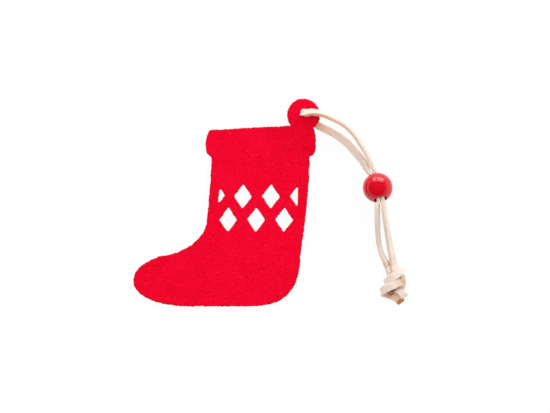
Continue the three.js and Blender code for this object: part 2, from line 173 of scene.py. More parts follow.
# The knot, as rows of (x, y, height, turn, tip) in widths and thicknesses of the lace
FRONT_KNOT = [
    (-0.07, 2.87, 1.45, 10, -38),
    (0.2, 1.87, 1.9, 8, -18),
    (0.36, 0.8, 2.1, 0, 0),
    (0.3, -0.27, 1.8, 5, 0),
    (0.55, -0.85, 1.1, 45, 0),
    (0.82, -0.68, 0.9, 95, 0),
    (1, 0, 1.6, 92, -25),
    (1.18, 1.02, 3, 95, -25),
    (0.85, 1.75, 3.65, 118, -8),
    (0, 1.28, 4, 118, 0),
    (-0.6, 0.86, 3.6, 118, 5),
    (-0.98, 0.42, 2.4, 110, 8),
    (-0.95, -0.02, 1.1, 95, 5),
    (-0.5, -0.4, 0.6, 78, 0),
    (0.05, -0.55, 1.4, 60, 0),
    (0.65, -0.65, 2.6, 40, 0),
    (1.05, -1.1, 2.75, 30, 0),
    (1.4, -1.55, 2.8, 30, 0),
]
BACK_KNOT = [
    (-0.97, 2.67, 1.3, 20, -58),
    (-0.57, 1.73, 1.6, 18, -34),
    (-0.35, 0.67, 1.7, 2, 0),
    (-0.3, -0.6, 1.5, 5, 0),
    (0.15, -1.35, 0.7, 40, 0),
    (0.7, -1.3, 0.65, 84, 0),
    (1.02, -0.8, 1.3, 90, -25),
    (1, 0.05, 2.6, 92, -22),
    (0.7, 0.42, 3.5, 106, -6),
    (-0.1, 0.08, 3.9, 107, 0),
    (-1, -0.3, 3.4, 109, 5),
    (-1.55, -0.72, 2.1, 104, 8),
    (-1.44, -1, 0.9, 82, 4),
    (-0.75, -1.2, 0.75, 64, 0),
    (0, -1.52, 1.3, 50, 0),
    (0.55, -1.87, 1.6, 34, 0),
    (0.85, -2.15, 2.3, 20, 0),
]

# From the middle of the tab's hole to the felt's face and over the edge, as rows of
# (x shift, y shift, turn) with the shifts in thicknesses of the lace
HOLE_UP = [(0, 0, 65), (0, 0, 72), (0.4, 0.05, 80)]
HOLE_DOWN = [(0, 0, 245), (0, 0, 241), (0.27, -0.2, 237)]

# How high the bends over and under the tab are, as shares of the gap there
UP_BEND_SHARE = 0.5
DOWN_BEND_SHARE = 0.35

# The rows in the bore, along its axis in bead diameters
BORE_SHARES = (-0.5, -0.3, 0, 0.3, 0.5)

# How tan the suede is painted, in even steps along each stretch: painted shade and red light bounced from
# the felt by the tab and under the strands, and brown painted shade deep in the knot. The knot's steps are
# its rows.
TAN_AND_SHADE_SHARES = {
    "front_upper": (0.8, 1.05, 1, 0.5, 0.2, 0.1, 0.1, 0.2),
    "back_upper": (0.7, 0.9, 0.8, 0.45, 0.2, 0.1, 0.1, 0.3),
    "front_lower": (0.3, 0.1, 0, 0, 0, 0.1),
    "back_lower": (0.3, 0.1, 0, 0.05, 0.15, 0.35),
    "front_knot": (0.05, 0.1, 0.3, 1.3, 1.6, 1.3, 0.5, 0.2, 0, 0, 0, 0.05, 0.4, 1.6, 1.7, 0.1, 0, 0.8),
    "back_knot": (0.2, 0.3, 0.8, 1.8, 1.8, 1.3, 0.8, 0.9, 0.7, 0.1, 0, 0.05, 0.3, 1.2, 0.7, 0.5, 1.6),
}

# How much of that painted tan and shade the faces take, and the cut edges
TAN_AND_SHADE_SIDE_SHARES = {
    "front_upper": (0.15, 1.1),
    "back_upper": (1, 0.3),
    "front_lower": (1, 0.3),
    "back_lower": (1, 0.3),
    "front_knot": (1, 1),
    "back_knot": (1, 1),
}

# How tan the cut ends of the tails are: their own brown, darkened further as painted shade
TAIL_END_BROWN_AND_SHADE = 1.5

# The soft corners of the lace's cut across, the points on each, and the outer share of a corner that
# is wholly cut edge
CORNER_RADIUS = 0.32 * MM
CORNER_POINTS = 5
CUT_CORNER_SHARE = 0.3

# The points on a face between two corners, and how thick the lace is there
FACE_SHARES = (0.5, 0, -0.5)
FACE_THICKNESS_SHARE = 0.98

# How much of the wobble the faces have, and the length of lace that the UV map takes as 1
FACE_WOBBLE_SHARE = 0.35
UV_LENGTH = 50 * MM

# The points that a stretch's length is measured on, and those of its path
LENGTH_POINTS = 200
CORD_POINTS = 60

# How many rings more than a free stretch the knot has between two rows of the route
KNOT_MORE_RINGS = 2

# Corners of the felt's CAD mesh that are nearer than this are one corner
WELD_DISTANCE = 0.001 * MM

# How much the felt's lumps count, and its nicks on the faces and on the cut edges
LUMP_SHARE = 0.45
NICK_SHARES = (0.35, 1.2)

# The slants over which a face turns into a cut edge, in its shape and in its colour, where the cut edge is
# painted darker as painted shade
EDGE_SLANTS = (0.2, 0.8)
EDGE_SHADE_SLANTS = (0.03, 0.4)

# How high a normal points on a face that looks up, and the least on one that doesn't look down
LOOKS_DOWN = -0.4

# What makes the surfaces uneven, as rows of (waves per metre, share)
LACE_WAVES = ((900, 0.7), (2600, 0.5))
FELT_LUMPS = ((380, 1), (900, 0.5))
FELT_NICKS = ((1500, 1),)
BEAD_WAVES = ((160, 0.004),)

# Mesh steps over a rim of the bead's bore and along half of its wall, and over the ball from rim to rim
RIM_STEPS = 8
BALL_STEPS = 64

# How bright the darker clouds in the paint are
DEEP_PAINT_SHARE = 0.93

# A loose fibre's start, middle and end as shares of its length, and its steps and sides
FIBRE_SHARES = ((-0.5, -0.08, -0.06), (0.02, 0.34, 0.16), (0.5, -0.1, 0.03))
FIBRE_STEPS = 4
FIBRE_SIDES = 3

# The least and the most that a fibre leans and turns, and that it is scaled
FIBRE_LEANS = ((-0.3, -0.35, 0), (0.3, 0.35, 2 * math.pi))
FIBRE_SIZE_SHARES = (0.35, 1.25)

# How much paler than the felt the fibres are painted: a painted highlight for the light that loose fibres
# catch
FIBRE_HIGHLIGHT_SHARE = 0.12

# How far below the ornament the floor is, its colour, and its level where it shows plain white
FLOOR_DROP = 0.02 * MM
PAPER = (0.86, 0.86, 0.86, 1)
WHITE = (1, 1, 1, 1)
FLOOR_GLOW_LEVEL = 1.02


def mix(a, b, share):
    """A value that lies the share of the way from a to b."""
    return a + (b - a) * share


def smooth(value, low, high):
    """0 where the value is low or less, 1 where it is high or more, and smooth in between."""
    share = min(max((value - low) / (high - low), 0), 1)
    return share * share * (3 - 2 * share)


def waves(place, rows):
    """How far a surface strays at a place, from rows of (waves per metre, share)."""
    return sum(share * noise.noise(place * scale) for scale, share in rows)


class Route:
    """A strip's path: a smooth line through its rows, with the way that its width points."""

    def __init__(self, rows):
        self.points = np.array([row[0] for row in rows])
        self.widths = []
        for _, turn, tip in rows:
            heading, rise = math.radians(turn), math.radians(tip)
            level = math.cos(rise)
            self.widths.append(
                Vector((math.cos(heading) * level, math.sin(heading) * level, math.sin(rise)))
            )
        self.last = len(rows) - 1

    def _piece(self, row):
        """The four points round the stretch that holds this row, and the roots of the steps between
        them."""
        k = min(int(row), self.last - 1)
        p = self.points
        before = p[k - 1] if k > 0 else 2 * p[0] - p[1]
        after = p[k + 2] if k + 2 <= self.last else 2 * p[-1] - p[-2]
        places = (before, p[k], p[k + 1], after)
        steps = [np.linalg.norm(b - a) ** 0.5 for a, b in zip(places, places[1:])]
        return k, places, steps

    def line(self, row):
        """The point and the tangent at a row."""
        k, (x0, x1, x2, x3), (d0, d1, d2) = self._piece(row)
        t1 = ((x1 - x0) / d0 - (x2 - x0) / (d0 + d1) + (x2 - x1) / d1) * d1
        t2 = ((x2 - x1) / d1 - (x3 - x1) / (d1 + d2) + (x3 - x2) / d2) * d1
        c2 = -3 * x1 + 3 * x2 - 2 * t1 - t2
        c3 = 2 * x1 - 2 * x2 + t1 + t2
        t = row - k
        point = Vector(x1 + t * (t1 + t * (c2 + t * c3)))
        return point, Vector(t1 + t * (2 * c2 + 3 * t * c3)).normalized()

    def frame(self, row):
        """The point there, the way of the width and of the face, and how far the strip is squeezed."""
        point, tangent = self.line(row)
        k = min(int(row), self.last - 1)
        width = self.widths[k].lerp(self.widths[k + 1], row - k)
        width = (width - tangent * width.dot(tangent)).normalized()
        squeeze = mix(HOLE_SQUEEZE_SHARE, 1, smooth(row, *SQUEEZED_ROWS))
        return point, width, tangent.cross(width), squeeze

    def length(self, first, last):
        path = [self.line(row)[0] for row in np.linspace(first, last, LENGTH_POINTS)]
        return sum((b - a).length for a, b in zip(path, path[1:]))


def free_rows(rows, start, end, low, high):
    """Rows of (place, turn, tip) for a stretch that lies free between two places and two heights."""
    made = []
    for x, y, rise, turn, tip in rows:
        place = Vector((mix(start.x, end.x, x), mix(start.y, end.y, y), mix(low, high, rise)))
        made.append((place, turn, tip))
    return made


def hole_rows(way):
    """The rows from the middle of the tab's hole, up or down, and over its edge."""
    middle = TAB_LIFT + FELT_THICKNESS / 2
    up_bend = mix(TAB_TOP, OVER_TAB, UP_BEND_SHARE)
    down_bend = mix(ON_TABLE, TAB_LIFT, DOWN_BEND_SHARE)
    heights = (middle, middle + way * FELT_THICKNESS / 2, up_bend if way > 0 else down_bend)
    rows = HOLE_UP if way > 0 else HOLE_DOWN
    return [
        (Vector((HOLE.x + x * LACE_THICKNESS, HOLE.y + y * LACE_THICKNESS, z)), turn, 0)
        for (x, y, turn), z in zip(rows, heights)
    ]


def bore_rows(way):
    """The rows through the bead, where the two halves lie side by side on edge."""
    aside = BORE_SIDE * way * (LACE_THICKNESS + LACE_GAP) / 2
    return [(BEAD_CENTRE + aside + BORE_AXIS * share * BEAD_DIAMETER, 0, -90) for share in BORE_SHARES]


def knot_rows(rows):
    """The rows through the knot and to the end of a tail."""
    return [
        (KNOT + Vector((x * LACE_WIDTH, y * LACE_WIDTH, z * LACE_THICKNESS)), turn, tip)
        for x, y, z, turn, tip in rows
    ]


class LaceHalf:
    """Half of the lace, from the middle of the hole to the end of its tail."""

    def __init__(self, way, to_bead, low, high, to_knot, knot):
        hole = hole_rows(way)
        upper = free_rows(to_bead, HOLE, BEAD, low, high)
        lower = free_rows(to_knot, BEAD, KNOT, ON_TABLE, BORE_OUTLET)
        self.route = Route(hole + upper + bore_rows(way) + lower + knot_rows(knot))
        self.bore = len(hole) + len(upper) + (len(BORE_SHARES) - 1) // 2
        self.knot = self.bore + (len(BORE_SHARES) + 1) // 2 + len(lower)
        self.end = self.route.last


FRONT = LaceHalf(1, FRONT_TO_BEAD, BORE_INLET, OVER_TAB, FRONT_TO_KNOT, FRONT_KNOT)
BACK = LaceHalf(-1, BACK_TO_BEAD, ON_TABLE, BORE_INLET, BACK_TO_KNOT, BACK_KNOT)


class FeltSettings(bpy.types.PropertyGroup):
    """Size and colour of the felt's surface."""

    voxel: FloatProperty(
        name="Mesh step", description="Size of the felt's mesh", default=0.295 * MM, unit="LENGTH"
    )
    cut_spread: FloatProperty(
        name="Cut spread", description="How far the cut-outs have spread", default=0.18 * MM, unit="LENGTH"
    )
    edge_wobble: FloatProperty(
        name="Edge wobble", description="How far the cut edge strays", default=0.34 * MM, unit="LENGTH"
    )
    face_wobble: FloatProperty(
        name="Face wobble", description="How uneven the faces are", default=0.07 * MM, unit="LENGTH"
    )
    colour: FloatVectorProperty(
        name="Colour", description="Red of the felt", subtype="COLOR", size=4,
        default=(0.93, 0.0006, 0.028, 1), min=0, max=1,
    )
    dark: FloatVectorProperty(
        name="Dark colour", description="Red between the clumps of wool", subtype="COLOR", size=4,
        default=(0.77, 0.0, 0.013, 1), min=0, max=1,
    )
    # The darker red of the cut edges is painted shade on the felt's steep walls
    cut: FloatVectorProperty(
        name="Cut colour", description="Darker red of the cut edges", subtype="COLOR", size=4,
        default=(0.5, 0.0, 0.012, 1), min=0, max=1,
    )
    fleck: FloatVectorProperty(
        name="Fleck colour", description="Pale specks in the wool", subtype="COLOR", size=4,
        default=(1.0, 0.07, 0.2, 1), min=0, max=1,
    )
    fibre_density: FloatProperty(
        name="Fibre density", description="Loose fibres per square metre", default=820000
    )
    fibre_length: FloatProperty(
        name="Fibre length", description="Length of a loose fibre", default=1.5 * MM, unit="LENGTH"
    )
    fibre_radius: FloatProperty(
        name="Fibre radius", description="Half the width of a loose fibre", default=0.022 * MM, unit="LENGTH"
    )
    seed: IntProperty(name="Seed", description="Layout of the loose fibres", default=4)


class LaceSettings(bpy.types.PropertyGroup):
    """Size and colour of the suede lace."""

    rings: IntProperty(name="Rings", description="Mesh rings between two rows of the route", default=9)
    wobble: FloatProperty(
        name="Wobble", description="How uneven the cut edges are", default=0.05 * MM, unit="LENGTH"
    )
    face: FloatVectorProperty(
        name="Face colour", description="Cream of the lace's faces", subtype="COLOR", size=4,
        default=(0.93, 0.81, 0.72, 1), min=0, max=1,
    )
    # Painted shade and painted red bounce light from the felt: the tan that the lace takes by the tab and
    # under the strands
    tan: FloatVectorProperty(
        name="Tan colour", description="Tan of the suede where the dye took less", subtype="COLOR", size=4,
        default=(0.84, 0.56, 0.40, 1), min=0, max=1,
    )
    # Painted shade deep in the knot, and the brown of the tails' cut ends darkened as painted shade
    brown_and_deep_shade: FloatVectorProperty(
        name="Raw colour", description="Brown of the tails' ends and deep in the knot",
        subtype="COLOR", size=4, default=(0.52, 0.24, 0.09, 1), min=0, max=1,
    )
    shade: FloatVectorProperty(
        name="Shade colour", description="Darker cream of the nap", subtype="COLOR", size=4,
        default=(0.87, 0.74, 0.65, 1), min=0, max=1,
    )
    edge: FloatVectorProperty(
        name="Edge colour", description="Tan of the cut edges", subtype="COLOR", size=4,
        default=(0.84, 0.69, 0.56, 1), min=0, max=1,
    )


class BeadSettings(bpy.types.PropertyGroup):
    """Mesh and paint of the bead."""

    segments: IntProperty(name="Segments", description="Mesh steps round the bead", default=128)
    colour: FloatVectorProperty(
        name="Paint", description="Red of the paint", subtype="COLOR", size=4,
        default=(0.74, 0.0, 0.014, 1), min=0, max=1,
    )
    # The bore's wood, stained red by the paint and painted near black as the painted shade inside the bore
    bore_wood_and_shade: FloatVectorProperty(
        name="Wood", description="Wood inside the bore, stained red by the paint", subtype="COLOR", size=4,
        default=(0.2, 0.012, 0.012, 1), min=0, max=1,
    )
    roughness: FloatProperty(
        name="Roughness", description="Roughness of the paint", default=0.085, min=0, max=1
    )


class StudioSettings(bpy.types.PropertyGroup):
    """Camera, lamps and floor."""

    height: FloatProperty(
        name="Camera height", description="Height of the camera over the floor", default=2.0, unit="LENGTH"
    )
    floor_size: FloatProperty(name="Floor", description="Side of the floor", default=3.0, unit="LENGTH")
    key_power: FloatProperty(name="Key", description="Watts of light from both softboxes", default=0.13)
    gloss_power: FloatProperty(
        name="Gloss", description="Watts of both softboxes as the gloss shows them", default=0.39
    )
    key_place: FloatVectorProperty(
        name="Key place", description="Where the gap between the softboxes stands", subtype="XYZ",
        default=(0.03, 0.2, 0.066),
    )
    key_height: FloatProperty(
        name="Key height", description="Height of both softboxes", default=0.13, unit="LENGTH"
    )
    key_gap: FloatProperty(
        name="Key gap", description="Gap between the softboxes", default=0.02, unit="LENGTH"
    )
    key_widths: FloatVectorProperty(
        name="Key widths", description="Widths of the left and the right softbox", size=2,
        default=(0.08, 0.16), unit="LENGTH",
    )
    room_level: FloatProperty(name="Room", description="Level of the light from the walls", default=1.1)
    ceiling_level: FloatProperty(
        name="Ceiling", description="Level of the light from straight overhead", default=1.32
    )
    zenith_level: FloatProperty(name="Zenith", description="Level seen straight overhead", default=0.01)
    front_shade: FloatProperty(
        name="Front shade", description="How much dimmer the light from the near side is", default=0.9
    )
    back_light: FloatProperty(
        name="Back light", description="How much brighter the light from the far side is", default=0.1
    )
    side_light: FloatProperty(
        name="Side light", description="How much brighter the light from the right is", default=0.08
    )
    floor_glow: FloatProperty(
        name="Floor glow", description="Share of the floor that shows plain white", default=0.9
    )


GROUPS = {
    "ornament_felt": FeltSettings,
    "ornament_lace": LaceSettings,
    "ornament_bead": BeadSettings,
    "ornament_studio": StudioSettings,
}


class Wire:
    """An output of a shader tree that takes part in sums with other wires and with numbers."""

    def __init__(self, tree, socket):
        self.tree = tree
        self.socket = socket

    def _sum(self, operation, first, second):
        return self.tree.add("ShaderNodeMath", 0, {"operation": operation}, {0: first, 1: second})

    def __add__(self, other):
        return self._sum("ADD", self, other)

    __radd__ = __add__

    def __sub__(self, other):
        return self._sum("SUBTRACT", self, other)

    def __rsub__(self, other):
        return self._sum("SUBTRACT", other, self)

    def __mul__(self, other):
        return self._sum("MULTIPLY", self, other)

    __rmul__ = __mul__


class Tree:
    """A node tree that is written as calls: each adds a node and gives back one of its outputs."""

    def __init__(self, tree):
        self.tree = tree

    def add(self, kind, output=0, settings=None, inputs=None):
        """Adds a node with its settings, and feeds its inputs with wires or with plain values."""
        node = self.tree.nodes.new(kind)
        for name, value in (settings or {}).items():
            setattr(node, name, value)
        for name, value in (inputs or {}).items():
            if isinstance(value, Wire):
                self.tree.links.new(value.socket, node.inputs[name])
            else:
                node.inputs[name].default_value = value
        return Wire(self, node.outputs[output]) if node.outputs else node

    def noise(self, place, scale, detail, roughness, distortion=0.0):
        sizes = {"Vector": place, "Scale": scale, "Detail": detail, "Roughness": roughness}
        return self.add("ShaderNodeTexNoise", "Fac", {}, {**sizes, "Distortion": distortion})

    def between(self, value, low, high):
        """0 where the value is low or less, 1 where it is high or more, and smooth in between."""
        ends = {"Value": value, "From Min": low, "From Max": high}
        return self.add("ShaderNodeMapRange", 0, {"interpolation_type": "SMOOTHSTEP"}, ends)

    def blend(self, share, first, second):
        """A colour between two colours."""
        return self.add("ShaderNodeMix", 2, {"data_type": "RGBA"}, {0: share, 6: first, 7: second})

    def attribute(self, name):
        return self.add("ShaderNodeAttribute", "Fac", {"attribute_name": name})

    def place(self):
        return self.add("ShaderNodeTexCoord", "Object")

    def stretched(self, place, scale, turn):
        return self.add("ShaderNodeMapping", 0, {}, {"Vector": place, "Scale": scale, "Rotation": turn})

    def bump(self, height, strength, distance):
        inputs = {"Height": height, "Strength": strength, "Distance": distance}
        return self.add("ShaderNodeBump", 0, {}, inputs)


def new_finish(name):
    """An empty material, and its tree."""
    material = bpy.data.materials.new(name)
    material.use_nodes = True
    material.node_tree.nodes.clear()
    return material, Tree(material.node_tree)


def end_finish(tree, inputs):
    """Feeds the surface's own shader, and that the material's output."""
    surface = tree.add("ShaderNodeBsdfPrincipled", 0, {}, inputs)
    tree.add("ShaderNodeOutputMaterial", 0, {}, {"Surface": surface})


def felt_finish(settings, name="felt", pale=0.0):
    """Pressed wool: clumps of lighter and darker red, matted fibres and a few pale specks.
    Its steep cut walls are painted darker as painted shade, and the pale share paints a highlight on loose
    fibres.
    """
    material, tree = new_finish(name)
    place = tree.place()
    clumps = tree.noise(place, 1000, 4, 0.62)
    strands = tree.noise(tree.stretched(place, (1, 0.28, 1), (0, 0, 0.6)), 2600, 3, 0.6, 1.2)
    crossed = tree.noise(tree.stretched(place, (0.28, 1, 1), (0, 0, 0.4)), 2400, 3, 0.6, 1.2)
    fine = strands * 0.5 + crossed * 0.5
    clouds = tree.noise(place, 130, 3, 0.55)
    tone = tree.between(clumps * 0.45 + fine * 0.35 + clouds * 0.2, 0.38, 0.56)
    face = tree.blend(tone, tuple(settings.dark), tuple(settings.colour))
    # Painted shade: the felt darkens towards its steep cut walls
    wool = tree.blend(tree.attribute("cut") * 0.75, face, tuple(settings.cut))
    specks = tree.between(strands, 0.62, 0.78) + tree.between(crossed, 0.62, 0.78)
    # The pale share paints the loose fibres paler: a painted highlight
    colour = tree.blend(specks * 0.5 + pale, wool, tuple(settings.fleck))
    mat = tree.bump(fine * 0.7 + clumps * 0.6, 0.55, 0.25 * MM)
    end_finish(
        tree,
        {
            "Base Color": colour,
            "Normal": mat,
            "Roughness": tree.between(fine, 0.2, 0.8) * 0.1 + 0.88,
            "Specular IOR Level": 0.04,
            "Sheen Weight": 0.03,
            "Sheen Roughness": 0.6,
            "Sheen Tint": (1.0, 0.12, 0.2, 1),
        },
    )
    return material


def suede_finish(settings):
    """Cream suede with a soft nap, darker on its cut edges, with tan painted on as shade and red light
    bounced from the felt, and brown as painted shade deep in the knot and on the tails' cut ends."""
    material, tree = new_finish("suede")
    place = tree.place()
    nap = tree.noise(place, 3200, 4, 0.65)
    patches = tree.noise(place, 420, 3, 0.55)
    fibrous = tree.noise(place, 1500, 4, 0.7)
    cut = tree.attribute("cut")
    # Where the lace is painted tan and brown as shade and red bounce light, with some random patches
    tan = tree.attribute("tan") + (patches - 0.5) * 0.5
    cream = tree.between(nap * 0.45 + patches * 0.55, 0.38, 0.62)
    face = tree.blend(cream, tuple(settings.shade), tuple(settings.face))
    edge = tree.blend(tree.between(fibrous, 0.35, 0.62), tuple(settings.edge), tuple(settings.shade))
    clean = tree.blend(tree.between(cut + (fibrous - 0.5) * 0.5, 0.35, 0.75), face, edge)
    with_tan_and_shade = tree.blend(tree.between(tan, 0, 1), clean, tuple(settings.tan))
    colour = tree.blend(tree.between(tan, 0.9, 1.5), with_tan_and_shade, tuple(settings.brown_and_deep_shade))
    end_finish(
        tree,
        {
            "Base Color": colour,
            "Normal": tree.bump(nap * 0.6 + fibrous * (0.4 + cut), 0.5, 0.12 * MM),
            "Roughness": tree.between(nap, 0.2, 0.8) * 0.12 + 0.82,
            "Specular IOR Level": 0.1,
            "Subsurface Weight": 0.8,
            "Subsurface Radius": (1.0, 0.85, 0.75),
            "Subsurface Scale": 0.6 * MM,
        },
    )
    return material


def paint_finish(settings):
    """Glossy paint on a turned wooden ball, thin at the rims of its bore and gone inside it, where the
    red-stained wood is painted dark as painted shade.
    """
    material, tree = new_finish("bead_paint")
    place = tree.place()
    grain = tree.noise(tree.stretched(place, (1, 0.12, 0.3), (0.35, 0, 0.23)), 1500, 4, 0.6)
    clouds = tree.noise(place, 260, 3, 0.5)
    bare = tree.attribute("bare")
    # Thin paint at the rims and bare wood in the bore, in a dark colour that is painted shade
    bare_and_shaded = tree.between(bare + (grain - 0.5) * 0.4, 0.5, 0.75)
    deep = tuple(c * DEEP_PAINT_SHARE for c in settings.colour[:3]) + (1,)
    paint = tree.blend(tree.between(clouds * 0.6 + grain * 0.4, 0.35, 0.65), deep, tuple(settings.colour))
    end_finish(
        tree,
        {
            "Base Color": tree.blend(bare_and_shaded, paint, tuple(settings.bore_wood_and_shade)),
            "Roughness": settings.roughness + grain * 0.06 + bare_and_shaded * 0.45,
            "Normal": tree.bump(grain * 0.6 + clouds * 0.4, 0.05, 0.08 * MM),
            "Specular IOR Level": 0.55,
        },
    )
    return material


def new_piece(name, mesh, material):
    """A mesh as an object in the scene, of one material."""
    piece = bpy.data.objects.new(name, mesh)
    bpy.context.scene.collection.objects.link(piece)
    mesh.materials.clear()
    mesh.materials.append(material)
    return piece


def add_shares(mesh, name, shares):
    """Adds a point attribute for a finish to read."""
    mesh.attributes.new(name, "FLOAT", "POINT").data.foreach_set("value", shares)


def strip_section():
    """The lace's cut across: a flat strip with soft corners, as (across, up, cut share) points."""
    half_width, half_height = LACE_WIDTH / 2, LACE_THICKNESS / 2
    face_end, wholly_cut = half_width - CORNER_RADIUS, half_width - CORNER_RADIUS * CUT_CORNER_SHARE
    section = []
    for turn in range(4):
        centre_x = face_end * (1 if turn in (0, 3) else -1)
        centre_y = (half_height - CORNER_RADIUS) * (1 if turn in (0, 1) else -1)
        for k in range(CORNER_POINTS):
            angle = math.radians(90 * (turn + k / (CORNER_POINTS - 1)))
            x = centre_x + CORNER_RADIUS * math.cos(angle)
            y = centre_y + CORNER_RADIUS * math.sin(angle)
            section.append((x, y, smooth(abs(x), face_end, wholly_cut)))
        if turn in (0, 2):
            side = 1 if turn == 0 else -1
            for share in FACE_SHARES:
                section.append((side * share * half_width, side * half_height * FACE_THICKNESS_SHARE, 0))
    return section


def strip_faces(rings, around):
    """The faces round a strip, and last the two caps that close it."""
    faces = []
    for i in range(rings):
        for j in range(around):
            a, b = i * around + j, i * around + (j + 1) % around
            faces.append((a, b, b + around, a + around))
    faces.append(tuple(reversed(range(around))))
    faces.append(tuple(range(rings * around, (rings + 1) * around)))
    return faces


def add_strip_map(mesh, lengths, around):
    """A UV map that runs along the strip and round it."""
    layer = mesh.uv_layers.new(name="strip")
    for loop in mesh.loops:
        ring, step = divmod(loop.vertex_index, around)
        layer.data[loop.index].uv = (lengths[ring] / UV_LENGTH, step / around)


def sharpen_caps(mesh):
    """Shades a strip's two caps flat, so that its sides don't darken towards them."""
    for cap in mesh.polygons[-2:]:
        cap.use_smooth = False
        for loop in cap.loop_indices:
            mesh.edges[mesh.loops[loop].edge_index].use_edge_sharp = True


def strip_mesh(name, route, first, last, rings_per_row, wobble, knot=False):
    """A strip of lace along the route, closed at both ends. In the knot it swells until its turns
    press on each other. Its point attributes cut and tan say where the leather was cut and how much
    tan and brown it is painted with as shade and red bounce light."""
    section = strip_section()
    around = len(section)
    tan_and_shade_steps = TAN_AND_SHADE_SHARES[name]
    rings = max(2, round((last - first) * rings_per_row))
    places, cuts, tints, lengths = [], [], [], []
    along = 0.0
    before = None
    for row in np.linspace(first, last, rings + 1):
        point, width, face, squeeze = route.frame(row)
        along += (point - before).length if before is not None else 0
        before = point
        lengths.append(along)
        # Painted tan and shade for this ring, from the stretch's steps
        tint = np.interp(row, np.linspace(first, last, len(tan_and_shade_steps)), tan_and_shade_steps)
        swelling = smooth(row - first, *SWELLING_ROWS) if knot else 0
        wider, thicker = (mix(1, share, swelling) for share in KNOT_SWELL_SHARES)
        for x, y, cut in section:
            x, y = x * wider, y * thicker
            out = (width * x + face * y).normalized()
            place = point + (width * x + face * y) * squeeze
            places.append(place + out * waves(place, LACE_WAVES) * wobble * (FACE_WOBBLE_SHARE + cut))
            cuts.append(cut)
            tints.append(tint * mix(*TAN_AND_SHADE_SIDE_SHARES[name], cut))
    mesh = bpy.data.meshes.new(name)
    mesh.from_pydata(places, [], strip_faces(rings, around))
    # The tails' cut ends, painted brown and darker as painted shade
    if knot:
        tints[-around:] = [TAIL_END_BROWN_AND_SHADE] * around
    add_shares(mesh, "cut", cuts)
    add_shares(mesh, "tan", tints)
    add_strip_map(mesh, lengths, around)
    keep_above_floor(mesh)
    mesh.shade_smooth()
    sharpen_caps(mesh)
    return mesh


def keep_above_floor(mesh):
    """Lifts whatever reaches below the surface that the ornament lies on."""
    places = np.empty(len(mesh.vertices) * 3, np.float32)
    mesh.vertices.foreach_get("co", places)
    places[2::3] = np.maximum(places[2::3], 0)
    mesh.vertices.foreach_set("co", places)
    mesh.update()


class ORNAMENT_OT_camera(bpy.types.Operator):
    """Set the camera straight over the ornament, as the photograph was taken"""

    bl_idname = "ornament.camera"
    bl_label = "Camera"

    def execute(self, context):
        studio = context.scene.ornament_studio
        data = bpy.data.cameras.new("camera")
        camera = bpy.data.objects.new("camera", data)
        context.scene.collection.objects.link(camera)
        x = (PHOTO_WIDTH / 2 - PHOTO_ORIGIN[0]) * PIXEL
        y = (PHOTO_ORIGIN[1] - PHOTO_HEIGHT / 2) * PIXEL
        camera.location = (x, y, studio.height)
        data.lens = data.sensor_width * (studio.height - FELT_THICKNESS) / (PHOTO_WIDTH * PIXEL)
        data.clip_end = FAR_CLIP_HEIGHTS * studio.height
        context.scene.camera = camera
        return {"FINISHED"}


class ORNAMENT_OT_lace(bpy.types.Operator):
    """Make the lace: two stretches from the hole to the bead, two to the knot, and the knot"""

    bl_idname = "ornament.lace"
    bl_label = "Suede lace"

    def execute(self, context):
        settings = context.scene.ornament_lace
        finish = suede_finish(settings)
        bead = bpy.data.objects["painted_bead"]
        inlet = BEAD_CENTRE - BORE_AXIS * BEAD_DIAMETER / 2
        outlet = BEAD_CENTRE + BORE_AXIS * BEAD_DIAMETER / 2
        halves = {"front": FRONT, "back": BACK}
        knot = tie_knot(halves, settings, finish)
        for side, half in halves.items():
            knot_start = half.route.line(half.knot)[0]
            stretches = {
                "upper": (0, half.bore, HOLE, inlet, "fitting", bead),
                "lower": (half.bore, half.knot, knot_start, outlet, "knot", knot),
            }
            for part, (first, last, start, end, far_end, carried) in stretches.items():
                name = f"{side}_{part}"
                mesh = strip_mesh(name, half.route, first, last, settings.rings, settings.wobble)
                piece = new_piece("suede_" + name, mesh, finish)
                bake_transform(piece)
                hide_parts("lace_" + name)
                path = [half.route.line(row)[0] for row in np.linspace(first, last, CORD_POINTS)]
                half.route.length(first, last)
        return {"FINISHED"}


def tie_knot(halves, settings, finish):
    """The knot, which holds the last stretch of both halves."""
    strands = []
    for side, half in halves.items():
        name, rings = side + "_knot", settings.rings + KNOT_MORE_RINGS
        mesh = strip_mesh(name, half.route, half.knot, half.end, rings, settings.wobble, knot=True)
        strands.append(new_piece("suede_knot", mesh, finish))
    knot = strands[0]
    with bpy.context.temp_override(active_object=knot, selected_editable_objects=strands):
        bpy.ops.object.join()
    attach(knot, "lace")
    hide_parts("lace_knot")
    return knot


class ORNAMENT_OT_stocking(bpy.types.Operator):
    """Make the felt stocking, with its uneven cut edges"""

    bl_idname = "ornament.stocking"
    bl_label = "Felt stocking"

    def execute(self, context):
        settings = context.scene.ornament_felt
        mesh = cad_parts["stocking_panel"].data.copy()
        piece = new_piece("felt_stocking", mesh, felt_finish(settings))
        weld = piece.modifiers.new("weld", "WELD")
        weld.merge_threshold = WELD_DISTANCE
        punch = half_cut_out()
        widen = piece.modifiers.new("widen", "BOOLEAN")
        widen.operation = "DIFFERENCE"
        widen.object = punch
        remesh = piece.modifiers.new("remesh", "REMESH")
        remesh.mode = "VOXEL"
        remesh.voxel_size = settings.voxel
        soften = piece.modifiers.new("soften", "SMOOTH")
        soften.factor = 0.5
        soften.iterations = 1
        felt = bake_modifiers(piece)
        bpy.data.objects.remove(punch)
        unsettle(felt, settings)
        felt.shade_smooth()
        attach(piece, "stocking")
        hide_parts("stocking_panel")
        return {"FINISHED"}


